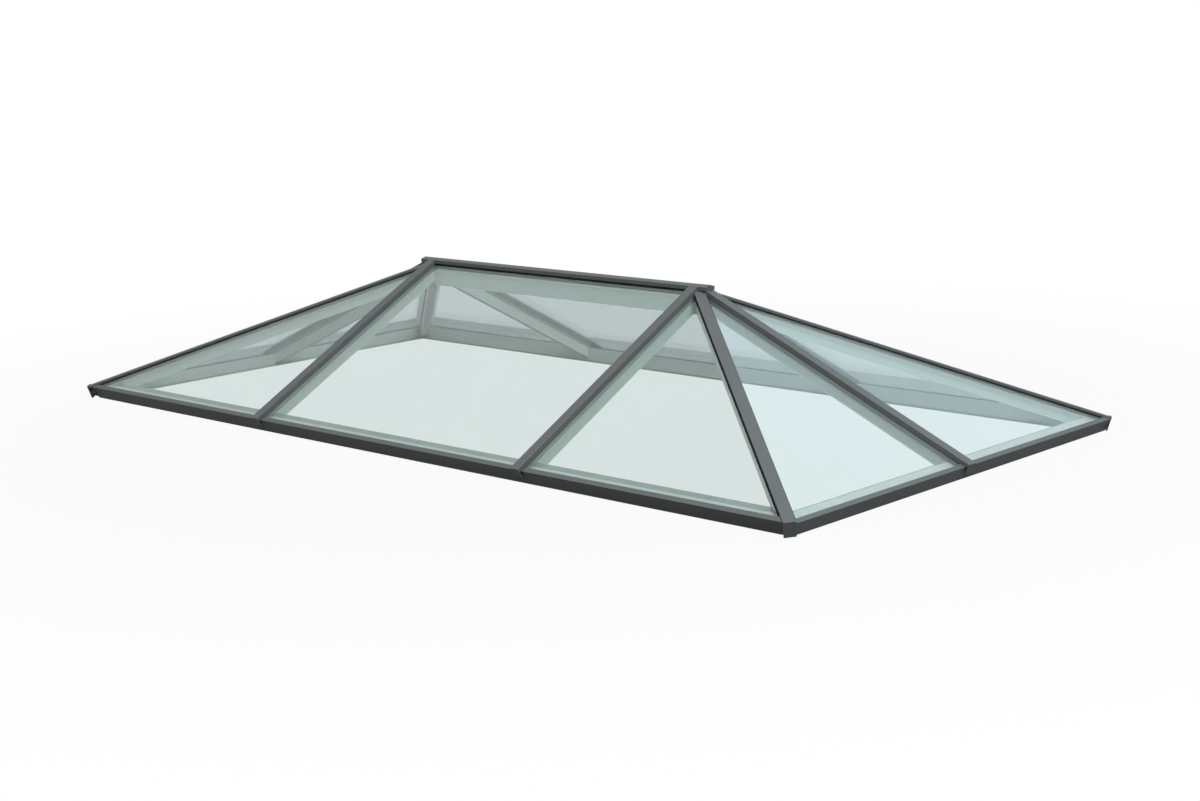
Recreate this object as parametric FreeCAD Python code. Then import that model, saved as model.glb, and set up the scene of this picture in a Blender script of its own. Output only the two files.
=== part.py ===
import FreeCAD, Part
import math
import os

os.makedirs("parts", exist_ok=True)
Vec = FreeCAD.Vector

# overall shape, mm
length = 4000.0             # over the folded ends of the caps
width = 2000.0
rise = 540.0                # outer glass face, eaves line to apex
apex_half = 750.0           # apex points and side rafters, from the middle
glass_line = 40.0           # height of the outer glass face at the eaves line

# sealed glass units
unit_thick = 20.0
edge_at_rafter = 8.0        # centreline to glass edge
edge_at_hip = 13.0
edge_at_ridge = 16.0

# rafters and hips, hollow bars under the glass
bar_half = 18.0
bar_depth = 42.0            # rafters, below the glass
hip_depth = 50.0            # hips, from their crown
bar_wall = 2.5
tongue_half = 3.0           # web that stands up between two units
hip_tongue_half = 2.0
joint_gap = 0.3

# outer caps, pressed on gaskets
cap_half = 21.0
cap_top = 20.0              # above the glass
cap_wall = 2.5
tab_drop = 20.0             # folded end, below the glass
tab_gap = 8.0               # folded end to the face of the trim
hip_cap_half = 20.5
hip_cap_top = 4.5           # above the hip line, a flat plate
gasket_high = 7.0
gasket_wide = 7.0
gasket_set_in = 1.0         # behind the side of the cap

# plates that close the hip caps at the corners
plate_lip = 0.5             # wider than the cap, each side
plate_rise = 3.0            # above the cap
plate_drop = 50.0           # below the hip line
plate_wall = 3.0
corner_setback = 36.0       # from the plan corner, along the hip

# eaves trim
trim_wall = 3.0
trim_flange = 21.0
trim_top = 5.0              # above the glass
trim_low = 6.0              # lower edge, above the underside
trim_leg = 14.0             # return under the nose of the beam
trim_gap = 1.0              # beside a hip cap
trim_tuck = 8.0             # face of the trim behind a corner plate
hip_room = 8.0              # below the hip line, for the cap and its gaskets
trim_pad = 10.0             # gasket strip under the flange
pane_gap = 3.0              # glass edge to trim
bar_gap = 1.0               # trim flange to the webs and gaskets of the bars
pad_set_in = 1.0            # behind the edge of the flange

# eaves beam, a hollow foot with a nose under the glass
beam_inset = 97.0           # inner face
foot_wide = 42.0
ledge_wide = 5.0            # top of the beam inside the glass seat, at the lowest pitch
beam_wall = 3.0
nose_thick = 12.0
nose_gap = 2.0              # behind the trim face
rebate_high = 9.0           # step along the inner lower edge
rebate_deep = 4.0

# ridge
ridge_half_wide = 25.0
ridge_depth = 78.0          # from the crown of the beam to its underside
ridge_wall = 3.0
ridge_past = 25.0           # beam end beyond the apex point
ridge_cap_clear = 0.5       # end of the cap over the end rafter caps
ridge_cap_low = -4.5        # edge of the cap from the glass apex
ridge_cap_side = 10.0
ridge_cap_top = 17.0
ridge_cap_wall = 2.5

up = Vec(0, 0, 1)
apex_height = glass_line + rise
far = 6000.0


# one glazed face: u along the eaves, v up the slope, n out of the glass
class Slope:
    def __init__(self, middle, along, inward, run, words):
        self.foot = Vec(middle)
        self.along = Vec(along)
        self.inward = Vec(inward)
        self.run = run
        self.words = {1: words[0], -1: words[1]}
        self.pitch = math.atan2(rise, run)
        self.climb = self.inward * math.cos(self.pitch) + up * math.sin(self.pitch)
        self.out = up * math.cos(self.pitch) - self.inward * math.sin(self.pitch)
        self.reach = math.hypot(rise, run)
        self.tab = cap_top * math.tan(self.pitch)
        self.face = self.tab + cap_wall + tab_gap
        self.glass_start = self.face + trim_wall + pane_gap
        foot_height = glass_line + self.face * math.sin(self.pitch)
        self.trim_drop = (foot_height - trim_low) / math.cos(self.pitch)
        self.half = length / 2 if abs(self.along.x) > 0.5 else width / 2
        self.top_half = apex_half if abs(self.along.x) > 0.5 else 0.0

    def at(self, u, v, n):
        base = self.foot + up * glass_line
        return base + self.along * u + self.climb * v + self.out * n

    def level(self, u, inset, z):
        return self.foot + self.along * u + self.inward * inset + up * z

    def seat_height(self, inset):
        return glass_line - unit_thick / math.cos(self.pitch) + inset * math.tan(self.pitch)

    def section(self, v, n):
        inset = v * math.cos(self.pitch) - n * math.sin(self.pitch)
        return inset, glass_line + v * math.sin(self.pitch) + n * math.cos(self.pitch)


end_run = length / 2 - apex_half
slopes = {
    "front": Slope((0, -width / 2, 0), (1, 0, 0), (0, 1, 0), width / 2, ("right", "left")),
    "back": Slope((0, width / 2, 0), (-1, 0, 0), (0, -1, 0), width / 2, ("left", "right")),
    "right": Slope((length / 2, 0, 0), (0, 1, 0), (-1, 0, 0), end_run, ("back", "front")),
    "left": Slope((-length / 2, 0, 0), (0, -1, 0), (1, 0, 0), end_run, ("front", "back")),
}
beam_top = min(slope.seat_height(beam_inset - ledge_wide) for slope in slopes.values())


# a corner line: s up the hip, a across it, w out between the two faces
class Hip:
    def __init__(self, sign_x, sign_y):
        self.corner = Vec(sign_x * length / 2, sign_y * width / 2, glass_line)
        apex = Vec(sign_x * apex_half, 0, apex_height)
        self.reach = (apex - self.corner).Length
        self.axis = (apex - self.corner).normalize()
        side = slopes["front" if sign_y < 0 else "back"]
        end = slopes["right" if sign_x > 0 else "left"]
        self.faces = (side, end)
        self.out = (side.out + end.out).normalize()
        self.across = self.axis.cross(self.out)
        self.cosine = side.out.dot(self.out)
        self.tangent = abs(side.out.dot(self.across)) / self.cosine
        self.sign_x = sign_x
        self.sign_y = sign_y

    def at(self, s, a, w):
        return self.corner + self.axis * s + self.across * a + self.out * w

    def over_glass(self, a, n):
        return n / self.cosine - abs(a) * self.tangent


hips = {
    "front_right": Hip(1, -1),
    "front_left": Hip(-1, -1),
    "back_right": Hip(1, 1),
    "back_left": Hip(-1, 1),
}


def prism(points, vector):
    wire = Part.makePolygon(list(points) + [points[0]])
    return Part.Face(wire).extrude(vector)


# a large block on the far side of a plane
def beyond(point, normal):
    turn = FreeCAD.Rotation(up, normal)
    block = Part.makeBox(2 * far, 2 * far, far, Vec(-far, -far, 0))
    block.Placement = FreeCAD.Placement(point, turn)
    return block


def cut_off(shape, point, normal):
    return shape.cut(beyond(point, normal))


def block(low, high):
    return Part.makeBox(high[0] - low[0], high[1] - low[1], high[2] - low[2], Vec(*low))


def save(shape, node):
    shape.removeSplitter().exportStep("parts/" + node + ".step")


def group(shapes):
    return Part.makeCompound([s for shape in shapes for s in shape.Solids])


def meet(first, second):
    a, b, c = first
    d, e, f = second
    det = a * e - b * d
    return (c * e - b * f) / det, (a * f - c * d) / det


def rectangle(middle, half, low, high):
    return [(middle - half, low), (middle + half, low), (middle + half, high), (middle - half, high)]


def slope_prism(slope, corners, start, reach):
    points = [slope.at(a, start, n) for a, n in corners]
    return prism(points, slope.climb * reach)


def eaves_prism(slope, corners, start, end):
    points = [slope.level(start, inset, z) for inset, z in corners]
    return prism(points, slope.along * (end - start))


def hip_prism(hip, corners, start, reach):
    points = [hip.at(start, a, w) for a, w in corners]
    return prism(points, hip.axis * reach)


# hip clearances at the top of the roof
def clear_of_apex(shape, hip, side_gap, ridge_gap):
    side_face = Vec(hip.sign_x * (apex_half + side_gap), 0, 0)
    shape = cut_off(shape, side_face, Vec(-hip.sign_x, 0, 0))
    ridge_face = Vec(0, hip.sign_y * ridge_gap, 0)
    return cut_off(shape, ridge_face, Vec(0, -hip.sign_y, 0))


# glass
def hip_line(slope, side):
    lean = (slope.half - slope.top_half) / slope.reach
    size = math.hypot(1.0, lean)
    return 1.0, side * lean, side * (slope.half - edge_at_hip * size)


def behind_plates(shape, slope, gap):
    for hip in hips.values():
        if slope in hip.faces:
            shape = cut_off(shape, hip.at(corner_setback + plate_wall + gap, 0, 0), hip.axis * -1)
    return shape


def pane(slope, lines):
    corners = [meet(lines[k - 1], lines[k]) for k in range(len(lines))]
    points = [slope.at(u, v, 0) for u, v in corners]
    return behind_plates(prism(points, slope.out * -unit_thick), slope, pane_gap)


def make_panes(name, slope):
    foot = (0.0, 1.0, slope.glass_start)
    head = (0.0, 1.0, slope.reach - edge_at_ridge / math.cos(slope.pitch))
    near = slope.top_half + edge_at_rafter
    for side, word in slope.words.items():
        lines = [foot, hip_line(slope, side), (1.0, 0.0, side * near)]
        save(pane(slope, lines), "pane_" + name + "_" + word)
    if slope.top_half > 0:
        inner = slope.top_half - edge_at_rafter
        lines = [foot, (1.0, 0.0, inner), head, (1.0, 0.0, -inner)]
        save(pane(slope, lines), "pane_" + name + "_middle")


# eaves
def beam_profile(slope):
    start = slope.face + trim_wall + nose_gap
    seat = (beam_top - glass_line + unit_thick * math.cos(slope.pitch)) / math.sin(slope.pitch)
    under = -unit_thick - nose_thick
    foot = beam_inset - foot_wide
    turn = (foot + under * math.sin(slope.pitch)) / math.cos(slope.pitch)
    return [
        slope.section(start, under),
        slope.section(start, -unit_thick),
        slope.section(seat, -unit_thick),
        (beam_inset, beam_top),
        (beam_inset, rebate_high),
        (beam_inset - rebate_deep, rebate_high),
        (beam_inset - rebate_deep, 0.0),
        (foot, 0.0),
        slope.section(turn, under),
    ]


# inside of the foot, one wall under the glass seat and the top
def beam_room(slope):
    low = beam_inset - foot_wide + beam_wall
    high = beam_inset - beam_wall
    step = rebate_high + beam_wall
    top = beam_top - beam_wall
    fall = math.tan(slope.pitch)
    seat = glass_line - (unit_thick + beam_wall) / math.cos(slope.pitch)
    corners = [
        (low, beam_wall),
        (high - rebate_deep, beam_wall),
        (high - rebate_deep, step),
        (high, step),
    ]
    if seat + high * fall <= top:
        return corners + [(high, seat + high * fall), (low, seat + low * fall)]
    corners.append((high, top))
    if seat + low * fall >= top:
        return corners + [(low, top)]
    return corners + [((top - seat) / fall, top), (low, seat + low * fall)]


def make_beam(slope):
    beam = eaves_prism(slope, beam_profile(slope), -slope.half, slope.half)
    beam = beam.cut(eaves_prism(slope, beam_room(slope), -slope.half, slope.half))
    for hip in hips.values():
        if slope not in hip.faces:
            continue
        other = hip.faces[1] if slope is hip.faces[0] else hip.faces[0]
        mitre = Vec(-hip.sign_x, -hip.sign_y, 0).normalize()
        away = up.cross(mitre)
        if away.dot(slope.inward) > 0:
            away = away * -1
        beam = cut_off(beam, hip.corner, away * -1)
        beam = cut_off(beam, other.at(0, 0, -unit_thick), other.out)
    return behind_plates(beam, slope, joint_gap)


def trim_profile(slope):
    face = slope.face
    inner = face + trim_wall
    leg_top = -unit_thick - nose_thick
    return [
        slope.section(face, -slope.trim_drop),
        slope.section(face, trim_top),
        slope.section(face + trim_flange, trim_top),
        slope.section(face + trim_flange, trim_top - trim_wall),
        slope.section(inner, trim_top - trim_wall),
        slope.section(inner, leg_top),
        slope.section(inner + trim_leg, leg_top),
        slope.section(inner + trim_leg, leg_top - trim_wall),
        slope.section(inner, leg_top - trim_wall),
        slope.section(inner, -slope.trim_drop),
    ]


def pad_profile(slope):
    high = slope.face + trim_flange - pad_set_in
    low = high - trim_pad
    top = trim_top - trim_wall
    return [slope.section(low, 0), slope.section(low, top), slope.section(high, top), slope.section(high, 0)]


def eaves_run(slope, profile, edge):
    run = eaves_prism(slope, profile, -slope.half, slope.half)
    for hip in hips.values():
        if slope in hip.faces:
            away = hip.across if hip.across.dot(slope.inward) > 0 else hip.across * -1
            run = cut_off(run, hip.corner - away * edge, away)
    return run


# the flange stops beside the hip cap, the face runs on behind the plate
def make_trim(slope):
    trim = eaves_run(slope, trim_profile(slope), hip_cap_half - trim_tuck)
    for hip in hips.values():
        if slope in hip.faces:
            room = rectangle(0, hip_cap_half + trim_gap, -hip_room, far)
            trim = trim.cut(hip_prism(hip, room, 0, hip.reach))
    return behind_plates(trim, slope, joint_gap)


# rafters
def foot_block():
    outer = block((-length, -width, -far), (length, width, beam_top))
    end = length / 2 - beam_inset
    side = width / 2 - beam_inset
    return outer.cut(block((-end, -side, -far), (end, side, far)))


def make_rafter(slope, place, feet):
    below = -unit_thick - bar_depth
    body = slope_prism(slope, rectangle(place, bar_half, below, -unit_thick), 0, slope.reach)
    room = rectangle(place, bar_half - bar_wall, below + bar_wall, -unit_thick - bar_wall)
    body = body.cut(slope_prism(slope, room, 0, slope.reach)).cut(feet)
    start = slope.face + trim_flange + bar_gap
    web_corners = rectangle(place, tongue_half, -unit_thick, cap_top - cap_wall)
    web = slope_prism(slope, web_corners, start, slope.reach - start)
    if slope.top_half > 0:
        body_stop = ridge_half_wide
        web_stop = ridge_half_wide
    else:
        body_stop = apex_half + ridge_past
        web_stop = apex_half + edge_at_ridge
    body = cut_off(body, slope.inward * -body_stop, slope.inward)
    web = cut_off(web, slope.inward * -web_stop, slope.inward)
    return body.fuse(web)


def cap_stop(slope):
    return ridge_half_wide if slope.top_half > 0 else apex_half + 2 * ridge_past


def make_rafter_cap(slope, place):
    cap = slope_prism(slope, rectangle(place, cap_half, gasket_high, cap_top), slope.tab, slope.reach)
    room = rectangle(place, cap_half - cap_wall, gasket_high, cap_top - cap_wall)
    cap = cap.cut(slope_prism(slope, room, slope.tab, slope.reach))
    tab = slope_prism(slope, rectangle(place, cap_half, -tab_drop, cap_top), slope.tab, cap_wall)
    return cut_off(cap.fuse(tab), slope.inward * -cap_stop(slope), slope.inward)


def rafter_gaskets(slope, place):
    strips = []
    middle = cap_half - gasket_set_in - gasket_wide / 2
    start = slope.face + trim_flange + bar_gap
    for side in (1, -1):
        corners = rectangle(place + side * middle, gasket_wide / 2, 0, gasket_high)
        strip = slope_prism(slope, corners, start, slope.reach - start)
        strips.append(cut_off(strip, slope.inward * -(cap_stop(slope) + bar_gap), slope.inward))
    return strips


# hips
def hip_profile(hip, half, depth, low):
    edge = hip.over_glass(half, -depth)
    return [(0, hip.over_glass(0, -depth)), (half, edge), (half, low), (-half, low), (-half, edge)]


def make_hip(hip, feet):
    crown = hip.over_glass(0, -unit_thick)
    low = crown - hip_depth
    body_corners = hip_profile(hip, bar_half, unit_thick, low)
    room = hip_profile(hip, bar_half - bar_wall, unit_thick + bar_wall, low + bar_wall)
    shoulder = hip.over_glass(hip_tongue_half, -unit_thick)
    web_corners = [
        (0, crown),
        (hip_tongue_half, shoulder),
        (hip_tongue_half, hip_cap_top - cap_wall),
        (-hip_tongue_half, hip_cap_top - cap_wall),
        (-hip_tongue_half, shoulder),
    ]
    start = corner_setback + plate_wall
    body = hip_prism(hip, body_corners, 0, hip.reach)
    body = body.cut(hip_prism(hip, room, 0, hip.reach)).cut(feet)
    body = clear_of_apex(body, hip, bar_half + joint_gap, bar_half + joint_gap)
    corner = block(
        (-apex_half - ridge_past, -ridge_half_wide, 0),
        (apex_half + ridge_past, ridge_half_wide, far),
    )
    body = body.cut(corner)
    web = hip_prism(hip, web_corners, start, hip.reach - start)
    web = clear_of_apex(web, hip, cap_half, ridge_half_wide)
    return body.fuse(web)


def make_hip_cap(hip):
    corners = rectangle(0, hip_cap_half, hip_cap_top - cap_wall, hip_cap_top)
    start = corner_setback + plate_wall
    cap = hip_prism(hip, corners, start, hip.reach - start)
    return clear_of_apex(cap, hip, cap_half + joint_gap, cap_half + joint_gap)


def make_corner_plate(hip):
    half = hip_cap_half + plate_lip
    corners = rectangle(0, half, -plate_drop, hip_cap_top + plate_rise)
    return hip_prism(hip, corners, corner_setback, plate_wall)


def hip_gaskets(hip):
    strips = []
    outer = hip_cap_half - gasket_set_in
    inner = outer - gasket_wide
    under = hip_cap_top - cap_wall
    start = corner_setback + plate_wall
    for side in (1, -1):
        corners = [
            (side * inner, hip.over_glass(inner, 0)),
            (side * outer, hip.over_glass(outer, 0)),
            (side * outer, under),
            (side * inner, under),
        ]
        strip = hip_prism(hip, corners, start, hip.reach - start)
        strips.append(clear_of_apex(strip, hip, cap_half + bar_gap, cap_half + bar_gap))
    return strips


# ridge
def along_ridge(corners, start, end):
    points = [Vec(start, y, apex_height + z) for y, z in corners]
    return prism(points, Vec(end - start, 0, 0))


def mirrored(right_half):
    return list(right_half) + [(-y, z) for y, z in reversed(right_half) if y > 0]


def make_ridge_beam():
    side = slopes["front"]
    fall = math.tan(side.pitch)
    crown = -unit_thick / math.cos(side.pitch)
    corners = mirrored([
        (0, crown),
        (ridge_half_wide, crown - ridge_half_wide * fall),
        (ridge_half_wide, crown - ridge_depth),
    ])
    inner = ridge_half_wide - ridge_wall
    drop = ridge_wall / math.cos(side.pitch)
    room = mirrored([
        (0, crown - drop),
        (inner, crown - drop - inner * fall),
        (inner, crown - ridge_depth + ridge_wall),
    ])
    half = apex_half + ridge_past
    beam = along_ridge(corners, -half, half).cut(along_ridge(room, ridge_wall - half, half - ridge_wall))
    for name in ("right", "left"):
        end = slopes[name]
        beam = cut_off(beam, end.at(0, 0, -unit_thick), end.out)
    web_top = ridge_cap_top - ridge_cap_wall - tongue_half
    web_corners = mirrored([
        (0, crown),
        (tongue_half, crown - tongue_half * fall),
        (tongue_half, web_top),
    ])
    web_half = apex_half - tongue_half
    return beam.fuse(along_ridge(web_corners, -web_half, web_half))


def cap_half_profile(low, shift):
    return [
        (0, ridge_cap_top - shift),
        (ridge_half_wide - shift, ridge_cap_side - shift),
        (ridge_half_wide - shift, low),
    ]


# the cap ends where the end rafter caps come up to its lower edge
def ridge_cap_half():
    pitch = slopes["right"].pitch
    rafter_over = cap_top / math.cos(pitch) + ridge_cap_clear - ridge_cap_low
    return apex_half + rafter_over / math.tan(pitch) + ridge_cap_wall


def make_ridge_cap():
    half = ridge_cap_half()
    room = half - ridge_cap_wall
    cap = along_ridge(mirrored(cap_half_profile(ridge_cap_low, 0)), -half, half)
    hollow = along_ridge(mirrored(cap_half_profile(ridge_cap_low, ridge_cap_wall)), -room, room)
    return cap.cut(hollow)


def ridge_gaskets():
    strips = []
    outer = ridge_half_wide - gasket_set_in
    inner = outer - gasket_wide
    fall = math.tan(slopes["front"].pitch)
    half = apex_half - cap_half - bar_gap
    for side in (1, -1):
        corners = [
            (side * inner, -inner * fall),
            (side * outer, -outer * fall),
            (side * outer, ridge_cap_low),
            (side * inner, ridge_cap_low),
        ]
        strips.append(along_ridge(corners, -half, half))
    return strips


def rafter_places(name, slope):
    if slope.top_half == 0:
        return {"end_" + name: 0.0}
    return {name + "_" + word: side * slope.top_half for side, word in slope.words.items()}


feet = foot_block()
gaskets = ridge_gaskets()
for name, slope in slopes.items():
    make_panes(name, slope)
    save(make_beam(slope), "eaves_beam_" + name)
    save(make_trim(slope), "eaves_trim_" + name)
    gaskets.append(eaves_run(slope, pad_profile(slope), hip_cap_half + trim_gap))
    for word, place in rafter_places(name, slope).items():
        save(make_rafter(slope, place, feet), "rafter_" + word)
        save(make_rafter_cap(slope, place), "rafter_cap_" + word)
        gaskets += rafter_gaskets(slope, place)
for name, hip in hips.items():
    save(make_hip(hip, feet), "hip_" + name)
    save(make_hip_cap(hip), "hip_cap_" + name)
    save(make_corner_plate(hip), "corner_plate_" + name)
    gaskets += hip_gaskets(hip)
save(make_ridge_beam(), "ridge_beam")
save(make_ridge_cap(), "ridge_cap")
save(group(gaskets), "glazing_gaskets")
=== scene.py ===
import math
import bmesh
import bpy
from mathutils import Matrix, Vector


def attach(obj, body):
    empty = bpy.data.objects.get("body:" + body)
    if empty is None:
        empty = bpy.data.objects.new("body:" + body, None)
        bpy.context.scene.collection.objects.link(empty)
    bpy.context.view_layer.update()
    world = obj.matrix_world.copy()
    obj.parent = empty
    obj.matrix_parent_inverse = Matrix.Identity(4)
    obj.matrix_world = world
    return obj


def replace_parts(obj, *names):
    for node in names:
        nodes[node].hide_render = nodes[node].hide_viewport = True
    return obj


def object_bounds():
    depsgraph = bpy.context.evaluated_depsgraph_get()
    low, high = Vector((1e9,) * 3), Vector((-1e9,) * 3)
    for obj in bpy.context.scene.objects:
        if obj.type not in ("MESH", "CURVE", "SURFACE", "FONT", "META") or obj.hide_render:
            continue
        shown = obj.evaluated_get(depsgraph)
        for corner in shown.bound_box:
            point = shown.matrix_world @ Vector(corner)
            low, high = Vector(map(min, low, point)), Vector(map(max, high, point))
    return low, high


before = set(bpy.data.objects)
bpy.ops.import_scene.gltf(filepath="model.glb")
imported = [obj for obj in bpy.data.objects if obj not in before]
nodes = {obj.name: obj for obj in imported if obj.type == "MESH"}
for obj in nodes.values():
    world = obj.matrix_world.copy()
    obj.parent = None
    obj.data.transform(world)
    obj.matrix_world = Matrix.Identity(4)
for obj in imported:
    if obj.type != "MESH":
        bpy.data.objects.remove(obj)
cadLow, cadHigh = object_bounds()
print("frame:", len(nodes), "nodes,", [round(b - a, 3) for a, b in zip(cadLow, cadHigh)], "m")


# a socket that can stand in a sum
class Wire:
    def __init__(self, graph, socket):
        self.graph = graph
        self.socket = socket

    def __add__(self, other):
        return self.graph.maths("ADD", self, other)

    def __radd__(self, other):
        return self.graph.maths("ADD", other, self)

    def __sub__(self, other):
        return self.graph.maths("SUBTRACT", self, other)

    def __rsub__(self, other):
        return self.graph.maths("SUBTRACT", other, self)

    def __mul__(self, other):
        return self.graph.maths("MULTIPLY", self, other)

    def __rmul__(self, other):
        return self.graph.maths("MULTIPLY", other, self)


# the node graph of one finish
class Graph:
    def __init__(self, tree):
        self.tree = tree
        self.tree.nodes.clear()

    def node(self, kind, settings=None, sockets=None):
        made = self.tree.nodes.new(kind)
        for key, value in (settings or {}).items():
            if key == "stops":
                self.setStops(made.color_ramp, value)
            else:
                setattr(made, key, value)
        for key, value in (sockets or {}).items():
            socket = self.pick(made.inputs, key)
            if isinstance(value, Wire):
                self.tree.links.new(value.socket, socket)
            else:
                socket.default_value = value
        found = {out.name: Wire(self, out) for out in made.outputs}
        found.update({out.identifier: Wire(self, out) for out in made.outputs})
        return found

    def pick(self, sockets, key):
        if isinstance(key, int):
            return sockets[key]
        for socket in sockets:
            if socket.identifier == key:
                return socket
        return sockets[key]

    def setStops(self, ramp, stops):
        while len(ramp.elements) < len(stops):
            ramp.elements.new(0.5)
        for element, (place, level) in zip(ramp.elements, stops):
            element.position = place
            element.color = (level, level, level, 1)

    def spot(self):
        return self.node("ShaderNodeTexCoord")["Object"]

    def noise(self, scale, detail=2.0, rough=0.5):
        sockets = {"Vector": self.spot(), "Scale": scale, "Detail": detail, "Roughness": rough}
        return self.node("ShaderNodeTexNoise", None, sockets)["Fac"]

    def ramp(self, value, stops):
        return self.node("ShaderNodeValToRGB", {"stops": stops}, {"Fac": value})["Color"]

    def blend(self, factor, first, second):
        sockets = {"Factor_Float": factor, "A_Color": first, "B_Color": second}
        return self.node("ShaderNodeMix", {"data_type": "RGBA"}, sockets)["Result_Color"]

    def bump(self, height, strength, distance):
        sockets = {"Height": height, "Strength": strength, "Distance": distance}
        return self.node("ShaderNodeBump", None, sockets)["Normal"]

    def normal(self):
        return self.node("ShaderNodeNewGeometry")["Normal"]

    def dot(self, first, second):
        settings = {"operation": "DOT_PRODUCT"}
        return self.node("ShaderNodeVectorMath", settings, {0: first, 1: second})["Value"]

    # zero on flat metal, more towards an edge
    def edge(self, radius):
        soft = self.node("ShaderNodeBevel", {"samples": 4}, {"Radius": radius})["Normal"]
        return 1 - self.dot(soft, self.normal())

    def axes(self, vector):
        return self.node("ShaderNodeSeparateXYZ", None, {"Vector": vector})

    def maths(self, operation, first, second=0.0):
        return self.node("ShaderNodeMath", {"operation": operation}, {0: first, 1: second})["Value"]

    def mixShaders(self, factor, first, second):
        return self.node("ShaderNodeMixShader", None, {0: factor, 1: first, 2: second})["Shader"]

    def show(self, shader):
        self.node("ShaderNodeOutputMaterial", None, {"Surface": shader})


def shade(colour, factor):
    return tuple(channel * factor for channel in colour) + (1,)


def newFinish(name):
    material = bpy.data.materials.new(name)
    material.use_nodes = True
    return material, Graph(material.node_tree)


# one outside a margin along the eaves
def outsideMask(graph, margin):
    axes = graph.axes(graph.spot())
    past = []
    for axis, reach in (("X", cadHigh[0]), ("Y", cadHigh[1])):
        past.append(graph.maths("ABSOLUTE", axes[axis]) - (reach - margin))
    return graph.maths("GREATER_THAN", graph.maths("MAXIMUM", *past))


# painted shade: one on faces that look up, made patchy with noise
def upwardShadeMask(graph, look):
    level = graph.ramp(graph.axes(graph.normal())["Z"], look["ledgeShadeStops"])
    return level * (1 - graph.noise(look["ledgeShadePatch"], 4) * look["ledgeShadeThin"])


# powder coat: fine orange peel, cloudy colour, edges a little lighter, and painted shade on faces that
# look up where the look asks for it
def coatFinish(name, look):
    material, graph = newFinish(name)
    cloud = graph.noise(look["cloud"], 4)
    speck = graph.noise(look["speck"], 2)
    drift = look["drift"]
    tone = graph.blend(cloud, shade(look["colour"], 1 - drift), shade(look["colour"], 1 + drift))
    tone = graph.blend(speck * look["speckShare"], tone, shade(look["colour"], look["speckTone"]))
    worn = graph.ramp(graph.edge(look["edgeReach"]), look["edgeStops"])
    tone = graph.blend(worn * look["edgeShare"], tone, shade(look["colour"], look["edgeTone"]))
    # painted shade: faces that look up are darkened
    if "ledgeShadeTone" in look:
        tone = graph.blend(upwardShadeMask(graph, look), tone, shade(look["colour"], look["ledgeShadeTone"]))
    if "outerColour" in look:
        tone = graph.blend(outsideMask(graph, look["outerMargin"]), tone, shade(look["outerColour"], 1))
    peel = graph.noise(look["peel"], 3, 0.6)
    shader = graph.node("ShaderNodeBsdfPrincipled", None, {
        "Base Color": tone,
        "Roughness": look["rough"] + (cloud - 0.5) * look["roughDrift"],
        "IOR": look["ior"],
        "Normal": graph.bump(peel, look["peelStrength"], look["peelDepth"]),
    })["BSDF"]
    graph.show(shader)
    return material


anthraciteCoat = {
    "colour": (0.126, 0.140, 0.142),
    "drift": 0.10, "cloud": 5.0,                  # cloudy colour, per metre
    "speck": 900.0, "speckShare": 0.35, "speckTone": 1.35,
    "edgeReach": 0.0016, "edgeShare": 0.55, "edgeTone": 2.2, "edgeStops": [(0.02, 0), (0.3, 1)],
    "peel": 750.0, "peelStrength": 0.25, "peelDepth": 0.0003,
    "rough": 0.48, "roughDrift": 0.12, "ior": 1.12,
}
whiteCoat = {
    "colour": (0.76, 0.785, 0.765),
    "drift": 0.03, "cloud": 4.0,
    "speck": 700.0, "speckShare": 0.15, "speckTone": 0.93,
    "edgeReach": 0.002, "edgeShare": 0.3, "edgeTone": 1.08, "edgeStops": [(0.02, 0), (0.3, 1)],
    "peel": 600.0, "peelStrength": 0.2, "peelDepth": 0.0003,
    "rough": 0.38, "roughDrift": 0.12, "ior": 1.3,
    "ledgeShadeTone": 0.45, "ledgeShadePatch": 9.0, "ledgeShadeThin": 0.25,             # painted shade on ledges and other faces that look up
    "ledgeShadeStops": [(0.3, 0), (0.7, 0.45), (0.93, 0.45), (0.98, 1)],
    "outerColour": anthraciteCoat["colour"], "outerMargin": 0.034,    # grey where the trims cover it
}


# rubber: matt black with a dusty bloom
def rubberFinish(name, look):
    material, graph = newFinish(name)
    bloom = graph.noise(look["bloom"], 5, 0.6)
    grain = graph.noise(look["grain"], 3)
    dusty = shade(look["colour"], look["bloomTone"])
    tone = graph.blend(bloom * look["bloomShare"], shade(look["colour"], 1), dusty)
    shader = graph.node("ShaderNodeBsdfPrincipled", None, {
        "Base Color": tone,
        "Roughness": look["rough"] + (grain - 0.5) * look["roughDrift"],
        "IOR": look["ior"],
        "Normal": graph.bump(grain, look["grainStrength"], look["grainDepth"]),
    })["BSDF"]
    graph.show(shader)
    return material


gasketRubber = {
    "colour": (0.006, 0.0065, 0.0065), "bloom": 40.0, "bloomShare": 0.6, "bloomTone": 2.4,
    "grain": 1200.0, "grainDepth": 0.0002, "grainStrength": 0.3,
    "rough": 0.62, "roughDrift": 0.2, "ior": 1.2,
}
edgeSealant = {
    "colour": (0.012, 0.013, 0.013), "bloom": 25.0, "bloomShare": 0.5, "bloomTone": 2.4,
    "grain": 500.0, "grainDepth": 0.0003, "grainStrength": 0.3,
    "rough": 0.5, "roughDrift": 0.2, "ior": 1.25,
}


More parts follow.
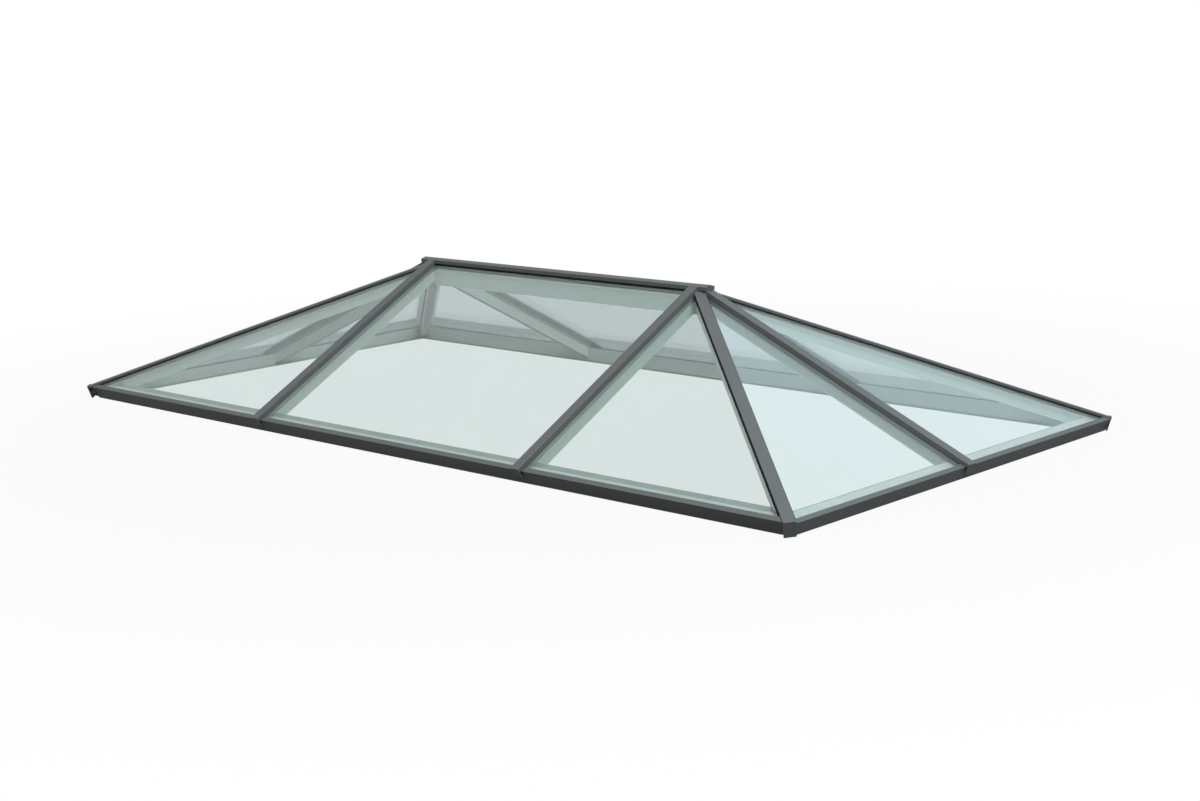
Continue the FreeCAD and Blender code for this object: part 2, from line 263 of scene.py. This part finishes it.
# aqua tinted float glass, shadows fall through it as through a tint
def glassFinish(name, look):
    material, graph = newFinish(name)
    drift = graph.noise(look["drift"], 2)
    dust = graph.ramp(graph.noise(look["dust"], 5, 0.65), look["dustStops"])
    tone = graph.blend(drift, shade(look["tint"], 1 - look["driftShare"]), shade(look["tint"], 1))
    facing = graph.node("ShaderNodeLayerWeight", None, {"Blend": 0.5})["Facing"]
    tone = graph.blend(graph.ramp(facing, look["flatStops"]), tone, shade(look["flatTint"], 1))
    clean = graph.node("ShaderNodeBsdfPrincipled", None, {
        "Base Color": tone,
        "Roughness": 0.0,
        "IOR": look["ior"],
        "Transmission Weight": 1.0,
    })["BSDF"]
    film = graph.node("ShaderNodeBsdfDiffuse", None, {"Color": shade(look["dustTone"], 1)})["BSDF"]
    sheet = graph.mixShaders(dust * look["dustShare"], clean, film)
    clear = graph.node("ShaderNodeBsdfTransparent", None, {"Color": shade(look["shadowTint"], 1)})["BSDF"]
    shadowRay = graph.node("ShaderNodeLightPath")["Is Shadow Ray"]
    graph.show(graph.mixShaders(shadowRay, sheet, clear))
    return material


tintedGlass = {
    "tint": (0.842, 0.892, 0.884), "driftShare": 0.012, "drift": 1.5,
    "flatTint": (0.706, 0.716, 0.740), "flatStops": [(0.6, 0), (0.8, 1)],     # looked along, a longer way
    "dust": 6.0, "dustShare": 0.012, "dustTone": (0.7, 0.72, 0.7), "dustStops": [(0.45, 0), (0.8, 1)],
    "ior": 1.15, "shadowTint": (0.955, 0.99, 0.98),
}


# grey spacer bar between the two sheets, with a fine grain
def spacerFinish(name, look):
    material, graph = newFinish(name)
    grain = graph.noise(look["grain"], 4, 0.6)
    cloud = graph.noise(look["cloud"], 3)
    dark, light = (shade(look["colour"], look[key]) for key in ("darkest", "lightest"))
    tone = graph.blend(grain, dark, light)
    shader = graph.node("ShaderNodeBsdfPrincipled", None, {
        "Base Color": tone,
        "Metallic": look["metal"],
        "Roughness": look["rough"] + (cloud - 0.5) * look["roughDrift"],
        "Normal": graph.bump(grain, look["grainStrength"], look["grainDepth"]),
    })["BSDF"]
    graph.show(shader)
    return material


spacerMetal = {
    "colour": (0.36, 0.38, 0.38), "darkest": 0.92, "lightest": 1.05,
    "metal": 0.2, "rough": 0.5, "roughDrift": 0.15, "cloud": 8.0,
    "grain": 400.0, "grainDepth": 0.0002, "grainStrength": 0.15,
}

slotFinish = {
    "anthracite": coatFinish("anthracitePowderCoat", anthraciteCoat),
    "white_inside": coatFinish("whitePowderCoat", whiteCoat),
    "gasket": rubberFinish("gasketRubber", gasketRubber),
    "glass": glassFinish("tintedFloatGlass", tintedGlass),
}
unitFinish = {
    "seal": rubberFinish("edgeSealant", edgeSealant),
    "spacer": spacerFinish("spacerBar", spacerMetal),
}
print("finishes:", len(slotFinish) + len(unitFinish))

slotOf = {
    "eaves_beam": "white_inside", "rafter_cap": "anthracite", "rafter": "white_inside",
    "hip_cap": "anthracite", "hip": "white_inside", "eaves_trim": "anthracite",
    "corner_plate": "anthracite", "ridge_beam": "white_inside", "ridge_cap": "anthracite",
    "glazing_gaskets": "gasket", "pane": "glass",
}
metalEdge = {"width": 0.0007, "segments": 2, "angle": math.radians(30)}


def slotFor(name):
    starts = [key for key in slotOf if name.startswith(key)]
    return slotOf[max(starts, key=len)]


# extruded and folded edges are never razor sharp
def dressNode(name, piece):
    slot = slotFor(name)
    piece.data.materials.clear()
    piece.data.materials.append(slotFinish[slot])
    if slot in ("anthracite", "white_inside"):
        soft = piece.modifiers.new("softEdge", "BEVEL")
        soft.width = metalEdge["width"]
        soft.segments = metalEdge["segments"]
        soft.limit_method = "ANGLE"
        soft.angle_limit = metalEdge["angle"]


for name, piece in nodes.items():
    dressNode(name, piece)
print("dressed nodes:", len(nodes))


# how the meshes of the frame are read
meshRead = {"digits": 5, "level": 0.0003, "upward": 0.5, "sharp": 0.9, "longShare": 0.8}


def newPiece(name, mesh, finish):
    mesh.materials.append(finish)
    piece = bpy.data.objects.new(name, mesh)
    bpy.context.scene.collection.objects.link(piece)
    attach(piece, "root")
    return piece


# sealed unit: two sheets, a spacer frame and the sealant behind it
sealedUnit = {
    "sheet": 0.004, "arris": 0.0005,
    "sealInset": 0.0005, "spacerInset": 0.003, "spacerWide": 0.007,
    "slack": 0.0001,                              # sheet to spacer
}


# normal of the largest face that looks up
def outwardOf(piece):
    upper = [p for p in piece.data.polygons if p.normal.z > meshRead["upward"]]
    return max(upper, key=lambda p: p.area).normal.normalized()


# outline of the outer face of a pane, anticlockwise seen from outside
def paneOutline(piece):
    outward = outwardOf(piece)
    corners = {}
    for vertex in piece.data.vertices:
        key = tuple(round(c, meshRead["digits"]) for c in vertex.co)
        corners[key] = vertex.co.copy()
    heights = [c.dot(outward) for c in corners.values()]
    rim = [c for c in corners.values() if c.dot(outward) > max(heights) - meshRead["level"]]
    middle = sum(rim, Vector()) / len(rim)
    across = (rim[0] - middle).normalized()
    upward = outward.cross(across)
    rim.sort(key=lambda c: math.atan2((c - middle).dot(upward), (c - middle).dot(across)))
    return rim, outward, max(heights) - min(heights)


# every edge moved in by a distance and met again
def insetOutline(rim, outward, distance):
    lines = []
    for k, start in enumerate(rim):
        along = rim[(k + 1) % len(rim)] - start
        inward = outward.cross(along).normalized()
        lines.append((start + inward * distance, along.normalized(), inward))
    points = []
    for k, (start, along, inward) in enumerate(lines):
        before, beforeAlong = lines[k - 1][:2]
        travel = (start - before).dot(inward) / beforeAlong.dot(inward)
        points.append(before + beforeAlong * travel)
    return points


def sheetMesh(name, rim, outward, top, thick):
    mesh = bpy.data.meshes.new(name)
    form = bmesh.new()
    upper = [form.verts.new(c - outward * top) for c in rim]
    lower = [form.verts.new(c - outward * (top + thick)) for c in rim]
    form.faces.new(upper)
    form.faces.new(lower[::-1])
    for k in range(len(rim)):
        n = (k + 1) % len(rim)
        form.faces.new((upper[k], lower[k], lower[n], upper[n]))
    bmesh.ops.bevel(form, geom=form.edges[:], offset=sealedUnit["arris"], segments=2, affect="EDGES")
    form.to_mesh(mesh)
    form.free()
    return mesh


# closed frame between two outlines
def frameMesh(name, outer, inner, outward, top, thick):
    mesh = bpy.data.meshes.new(name)
    form = bmesh.new()
    rings = []
    for outline in (outer, inner):
        for depth in (top, top + thick):
            rings.append([form.verts.new(c - outward * depth) for c in outline])
    outerTop, outerLow, innerTop, innerLow = rings
    for k in range(len(outer)):
        n = (k + 1) % len(outer)
        form.faces.new((outerTop[k], outerTop[n], innerTop[n], innerTop[k]))
        form.faces.new((outerLow[n], outerLow[k], innerLow[k], innerLow[n]))
        form.faces.new((outerTop[n], outerTop[k], outerLow[k], outerLow[n]))
        form.faces.new((innerTop[k], innerTop[n], innerLow[n], innerLow[k]))
    form.to_mesh(mesh)
    form.free()
    return mesh


def buildPane(name):
    rim, outward, thick = paneOutline(nodes[name])
    sheet = sealedUnit["sheet"]
    outer = sheetMesh(name + "_outer_sheet", rim, outward, 0, sheet)
    inner = sheetMesh(name + "_inner_sheet", rim, outward, thick - sheet, sheet)
    for mesh in (outer, inner):
        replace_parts(newPiece(mesh.name, mesh, slotFinish["glass"]), name)
    start = sealedUnit["spacerInset"]
    insets = (sealedUnit["sealInset"], start, start + sealedUnit["spacerWide"])
    rings = [insetOutline(rim, outward, inset) for inset in insets]
    depth = sheet + sealedUnit["slack"]
    deep = thick - 2 * depth
    seal = frameMesh(name + "_edge_seal", rings[0], rings[1], outward, depth, deep)
    newPiece(seal.name, seal, unitFinish["seal"])
    bar = frameMesh(name + "_spacer", rings[1], rings[2], outward, depth, deep)
    newPiece(bar.name, bar, unitFinish["spacer"])


paneNames = [name for name in nodes if name.startswith("pane")]
for name in paneNames:
    buildPane(name)
print("sealed units:", len(paneNames))


# folded lower edges of the caps, and the rubber lip beside a hip cap
capEdge = {
    "rafter": 0.0055, "hip": 0.0062,              # how far the fold hangs down
    "outer": 0.0001, "inner": 0.0009,             # its two faces, in from the side of the cap
    "endGap": 0.002,
}
sealLip = {
    "behind": 0.0009, "wide": 0.0065,             # start behind the side of the cap, and width
    "lift": 0.00005, "thick": 0.001, "clear": 0.0015,
}


# edges between faces that meet at an angle
def sharpEdges(piece):
    found = {}
    for polygon in piece.data.polygons:
        places = [piece.data.vertices[v].co for v in polygon.vertices]
        corners = [tuple(round(c, meshRead["digits"]) for c in place) for place in places]
        for k, corner in enumerate(corners):
            key = tuple(sorted((corner, corners[k - 1])))
            found.setdefault(key, []).append(polygon.normal)
    limit = meshRead["sharp"]
    sharp = [key for key, normals in found.items() if min(normals[0].dot(n) for n in normals) < limit]
    return [tuple(sorted((Vector(a), Vector(b)), key=lambda c: c.z)) for a, b in sharp]


# axes of a cap and its two lower outer edges from the eaves up, each with its way out
def capSides(piece):
    edges = sharpEdges(piece)
    longest = max(edges, key=lambda e: (e[1] - e[0]).length)
    reach = (longest[1] - longest[0]).length
    outward = outwardOf(piece)
    axis = (longest[1] - longest[0]).normalized()
    across = axis.cross(outward)
    edges = [e for e in edges if (e[1] - e[0]).length > meshRead["longShare"] * reach]
    low = min(e[0].dot(outward) for e in edges) + meshRead["level"]
    edges = sorted((e for e in edges if e[0].dot(outward) < low), key=lambda e: e[0].dot(across))
    return {"axis": axis, "outward": outward, "edges": [(edges[0], -across), (edges[-1], across)]}


# up the slope of a face
def climbOf(normal):
    flat = math.hypot(normal.x, normal.y)
    return Vector((-normal.x * normal.z / flat, -normal.y * normal.z / flat, flat))


# how far up the slope the trim flange reaches
def flangeTop(side, climb):
    return max(v.co.dot(climb) for v in nodes["eaves_trim_" + side].data.vertices)


# one closed bar between two points
def addStrip(form, start, end, corners):
    low = [form.verts.new(start + c) for c in corners]
    high = [form.verts.new(end + c) for c in corners]
    form.faces.new(low[::-1])
    form.faces.new(high)
    for k in range(len(corners)):
        n = (k + 1) % len(corners)
        form.faces.new((low[k], low[n], high[n], high[k]))


def stripPiece(name, strips, finish):
    mesh = bpy.data.meshes.new(name)
    form = bmesh.new()
    for start, end, corners in strips:
        addStrip(form, start, end, corners)
    bmesh.ops.recalc_face_normals(form, faces=form.faces[:])
    form.to_mesh(mesh)
    form.free()
    newPiece(name, mesh, finish)


def buildCapEdge(name):
    cap = capSides(nodes[name])
    axis = cap["axis"]
    words = name.split("_")
    drop = capEdge[words[0]]
    inset, reach = capEdge["outer"], capEdge["inner"]
    gap = axis * capEdge["endGap"]
    strips = []
    for (start, end), away in cap["edges"]:
        if words[0] == "rafter":
            side = words[3] if words[2] == "end" else words[2]
            start = start + axis * (flangeTop(side, axis) - start.dot(axis))
        section = [(inset, 0), (reach, 0), (reach, drop), (inset, drop)]
        corners = [away * -a - cap["outward"] * d for a, d in section]
        strips.append((start + gap, end - gap, corners))
    stripPiece(name + "_lip", strips, slotFinish["anthracite"])


# first and last place of a node along a direction
def spanAlong(node, along):
    places = [v.co.dot(along) for v in nodes[node].data.vertices]
    return min(places), max(places)


# rubber lip on one glass face beside a hip cap, from the trim to the next rafter cap
def lipStrip(edge, axis, away, side, pane, rafter):
    outline, normal = paneOutline(nodes[pane])[:2]
    foot = edge[0] - normal * (edge[0] - outline[0]).dot(normal)
    into = axis.cross(normal)
    into = into if into.dot(away) > 0 else -into
    near = ((edge[0] - foot).dot(away) - sealLip["behind"]) / into.dot(away)
    far = near + sealLip["wide"]
    climb = climbOf(normal)
    along = climb.cross(normal)
    outer = foot + into * far
    clear = sealLip["clear"]
    start = (flangeTop(side, climb) + clear - outer.dot(climb)) / axis.dot(climb)
    first, last = spanAlong(rafter, along)
    stop = last + clear if outer.dot(along) > last else first - clear
    end = (stop - outer.dot(along)) / axis.dot(along)
    low, high = sealLip["lift"], sealLip["lift"] + sealLip["thick"]
    corners = [into * a + normal * n for a, n in ((near, low), (far, low), (far, high), (near, high))]
    return foot + axis * start, foot + axis * end, corners


def buildHipSeal(name):
    side, end = name.split("_")[2:]
    cap = capSides(nodes[name])
    faces = {
        side: ("pane_" + side + "_" + end, "rafter_cap_" + side + "_" + end),
        end: ("pane_" + end + "_" + side, "rafter_cap_end_" + end),
    }
    strips = []
    for word, (pane, rafter) in faces.items():
        places = [v.co for v in nodes[pane].data.vertices]
        middle = sum(places, Vector()) / len(places)
        edge, away = max(cap["edges"], key=lambda s: (middle - s[0][0]).dot(s[1]))
        strips.append(lipStrip(edge, cap["axis"], away, word, pane, rafter))
    stripPiece(name + "_seal", strips, slotFinish["gasket"])


capNames = [name for name in nodes if name.startswith(("rafter_cap", "hip_cap"))]
for name in capNames:
    buildCapEdge(name)
    if name.startswith("hip_cap"):
        buildHipSeal(name)
print("cap edges:", len(capNames))

# wedge that closes the gap between the ledge of a beam and the glass
ledgeWedge = {
    "start": 0.001, "share": 0.95,                # from the seat, and part of the ledge that it covers
    "clear": 0.0001, "endGap": 0.002,
}
wedgeCoat = dict(whiteCoat, ledgeShadeStops=[(0.3, 0), (0.7, 1)])     # painted shade all over its sloped top
wedgeFinish = coatFinish("whiteWedge", wedgeCoat)


# where the near edge of a hip cap passes a line along the eaves
def hipLimit(hip, inward, along, inset):
    cap = capSides(nodes[hip])
    axis = cap["axis"]
    starts = [edge[0] for edge, away in cap["edges"]]
    spots = [start + axis * ((inset - start.dot(inward)) / axis.dot(inward)) for start in starts]
    return min((spot.dot(along) for spot in spots), key=abs)


def buildWedge(side, pane, rafters):
    normal = outwardOf(nodes[pane])
    inward = Vector((-normal.x, -normal.y, 0)).normalized()
    along = Vector((inward.y, -inward.x, 0))
    fall = math.hypot(normal.x, normal.y) / normal.z
    corners = [v.co for v in nodes["eaves_beam_" + side].data.vertices]
    top = max(c.z for c in corners)
    ledge = [c.dot(inward) for c in corners if c.z > top - meshRead["level"]]
    seat = min(ledge)
    near = seat + ledgeWedge["start"]
    far = seat + (max(ledge) - seat) * ledgeWedge["share"]
    low, high = ((inset - seat) * fall - ledgeWedge["clear"] for inset in (near, far))
    profile = [(near, 0), (far, 0), (far, high), (near, low)]
    section = [inward * inset + Vector((0, 0, top + z)) for inset, z in profile]
    hips = [name for name in capNames if name.startswith("hip") and side in name.split("_")]
    limits = sorted(hipLimit(name, inward, along, far) for name in hips)
    holes = sorted(spanAlong(name, along) for name in rafters)
    starts = [limits[0]] + [hole[1] for hole in holes]
    stops = [hole[0] for hole in holes] + [limits[1]]
    gap = ledgeWedge["endGap"]
    strips = [(along * (a + gap), along * (b - gap), section) for a, b in zip(starts, stops)]
    stripPiece("eaves_wedge_" + side, strips, wedgeFinish)


wedgeSides = {
    "front": ("pane_front_middle", ("rafter_front_left", "rafter_front_right")),
    "back": ("pane_back_middle", ("rafter_back_left", "rafter_back_right")),
    "left": ("pane_left_front", ("rafter_end_left",)),
    "right": ("pane_right_front", ("rafter_end_right",)),
}
for side, (pane, rafters) in wedgeSides.items():
    buildWedge(side, pane, rafters)
print("eaves wedges:", len(wedgeSides))


# pale floor, white further out, that keeps the shadow
studioFloor = {
    "half": 60.0, "drop": 0.0005, "colour": (0.156, 0.150, 0.146),
    "nearWhite": 0.95, "fadeFrom": 1.6, "fadeTo": 4.5,
}


def backgroundRay(graph):
    path = graph.node("ShaderNodeLightPath")
    seen = path["Is Camera Ray"] + path["Is Glossy Ray"] + path["Is Transmission Ray"]
    return graph.maths("MINIMUM", seen, 1.0)


def floorFinish(look):
    material, graph = newFinish("paleFloor")
    matt = graph.node("ShaderNodeBsdfDiffuse", None, {"Color": shade(look["colour"], 1)})["BSDF"]
    white = graph.node("ShaderNodeEmission", None, {"Color": (1, 1, 1, 1), "Strength": 1.0})["Emission"]
    reach = graph.node("ShaderNodeVectorMath", {"operation": "LENGTH"}, {0: graph.spot()})["Value"]
    fade = graph.node("ShaderNodeMapRange", {"interpolation_type": "SMOOTHSTEP"}, {
        "Value": reach, "From Min": look["fadeFrom"], "From Max": look["fadeTo"],
        "To Min": look["nearWhite"], "To Max": 1.0,
    })["Result"]
    graph.show(graph.mixShaders(fade * backgroundRay(graph), matt, white))
    return material


def buildFloor(look):
    mesh = bpy.data.meshes.new("studio_floor")
    half = look["half"]
    level = cadLow[2] - look["drop"]
    corners = [(-half, -half, level), (half, -half, level), (half, half, level), (-half, half, level)]
    mesh.from_pydata(corners, [], [(0, 1, 2, 3)])
    mesh.materials.append(floorFinish(look))
    floor = bpy.data.objects.new("studio_floor", mesh)
    bpy.context.scene.collection.objects.link(floor)


buildFloor(studioFloor)

# soft light: a surround that is brighter overhead, a broad key from the right
surround = {
    "horizon": 0.05, "zenith": 1.05, "seen": 1.0,
    "glowAim": (-0.26, 0.80, 0.54), "glowEdge": 0.85, "glowCore": 0.99,       # sheen on the right end
    "glow": 0.6, "glowColour": (0.80, 0.97, 1.10),
}
lamps = {
    "key": {"place": (6.0, -2.5, 6.5), "aim": (0, 0, 0.2), "size": (3.5, 3.5), "power": 360.0},
}


def buildSurround(look):
    world = bpy.data.worlds.new("softSurround")
    world.use_nodes = True
    bpy.context.scene.world = world
    graph = Graph(world.node_tree)
    seen = backgroundRay(graph)
    aim = graph.node("ShaderNodeTexCoord")["Generated"]
    high = graph.maths("MAXIMUM", graph.axes(aim)["Z"])
    light = look["horizon"] + high * (look["zenith"] - look["horizon"])
    glow = graph.node("ShaderNodeMapRange", {"interpolation_type": "SMOOTHSTEP"}, {
        "Value": graph.dot(aim, look["glowAim"]),
        "From Min": look["glowEdge"], "From Max": look["glowCore"],
    })["Result"]
    strength = light + seen * (look["seen"] - light) + glow * look["glow"]
    tone = graph.blend(glow, (1, 1, 1, 1), shade(look["glowColour"], 1))
    air = graph.node("ShaderNodeBackground", None, {"Color": tone, "Strength": strength})
    graph.node("ShaderNodeOutputWorld", None, {"Surface": air["Background"]})


def buildLamp(name, look):
    data = bpy.data.lights.new(name, "AREA")
    data.shape = "RECTANGLE"
    data.size, data.size_y = look["size"]
    data.energy = look["power"]
    lamp = bpy.data.objects.new(name, data)
    place = Vector(look["place"])
    lamp.location = place
    lamp.rotation_euler = (Vector(look["aim"]) - place).to_track_quat("-Z", "Y").to_euler()
    lamp.visible_glossy = False                   # not mirrored as a square in the panes
    lamp.visible_transmission = False             # nor from the lower faces of the sheets
    bpy.context.scene.collection.objects.link(lamp)


buildSurround(surround)
for name, look in lamps.items():
    buildLamp(name, look)

# camera found from the corners of the lantern in the picture
viewpoint = {
    "place": (5.8711, -5.8191, 1.7051),
    "azimuth": 42.4658, "elevation": 10.2595, "roll": -1.5351,
    "focalPixels": 2046.77, "pictureWide": 1200, "shiftPixels": (-60, -40),
    "sensor": 36.0, "clipEnd": 300.0,
}


def buildCamera(look):
    azimuth, elevation, roll = (math.radians(look[key]) for key in ("azimuth", "elevation", "roll"))
    across = math.cos(elevation)
    back = Vector((math.sin(azimuth) * across, -math.cos(azimuth) * across, math.sin(elevation)))
    side = Vector((math.cos(azimuth), math.sin(azimuth), 0))
    upward = back.cross(side)
    turnedSide = side * math.cos(roll) + upward * math.sin(roll)
    turnedUp = upward * math.cos(roll) - side * math.sin(roll)
    data = bpy.data.cameras.new("pictureCamera")
    data.sensor_width = look["sensor"]
    data.lens = look["focalPixels"] / look["pictureWide"] * data.sensor_width
    data.shift_x, data.shift_y = (p / look["pictureWide"] for p in look["shiftPixels"])
    data.clip_end = look["clipEnd"]
    camera = bpy.data.objects.new("pictureCamera", data)
    turn = Matrix((turnedSide, turnedUp, back)).transposed()
    camera.matrix_world = Matrix.Translation(look["place"]) @ turn.to_4x4()
    bpy.context.scene.collection.objects.link(camera)
    bpy.context.scene.camera = camera


buildCamera(viewpoint)
bpy.context.scene.view_settings.view_transform = "Standard"
print("stage, lamps and camera are set")
